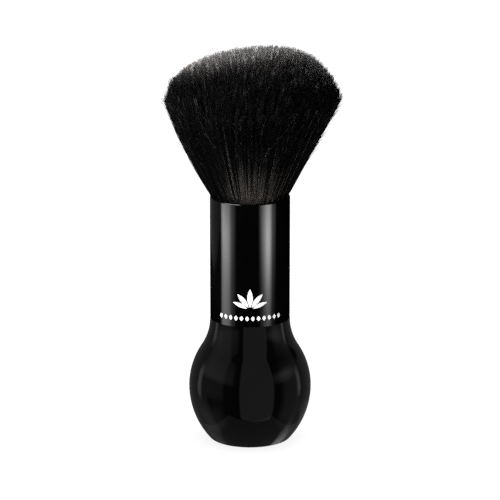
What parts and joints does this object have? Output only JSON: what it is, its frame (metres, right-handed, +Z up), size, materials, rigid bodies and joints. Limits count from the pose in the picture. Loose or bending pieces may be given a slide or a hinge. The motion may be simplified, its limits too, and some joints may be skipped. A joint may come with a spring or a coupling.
{
  "type": "neck duster brush",
  "caption": "Barber's neck duster brush: a wide domed head of soft dark hair in a gloss black tube ferrule, on a round weighted bulb handle that it stands on.",
  "frame": {"origin": "centre of the rubber foot's standing face, on the brush's axis", "axes": "+Z up along the brush's axis, from the foot to the crown of the hair; the side with the printed motif faces -Y; +X to the right seen from that side"},
  "size_m": [0.072, 0.072, 0.165],
  "materials": {
    "hair": "matte",
    "thread": "matte",
    "resin": "gloss",
    "cup_plastic": "matte",
    "ferrule_lacquer": "gloss",
    "glue": "satin",
    "bulb_plastic": "gloss",
    "screw_steel": "satin",
    "ballast_steel": "satin",
    "foot_rubber": "matte"
  },
  "bodies": {
    "root": {"hair_head": "hair", "knot_thread": "thread", "root_resin": "resin", "knot_cup": "cup_plastic", "ferrule": "ferrule_lacquer", "glue_rings": "glue", "handle_bulb": "bulb_plastic", "neck_plug": "cup_plastic", "tie_screw": "screw_steel", "tie_washer": "screw_steel", "ballast_weight": "ballast_steel", "ballast_screw": "screw_steel", "base_cap": "cup_plastic", "foot_pad": "foot_rubber"}
  },
  "joints": []
}
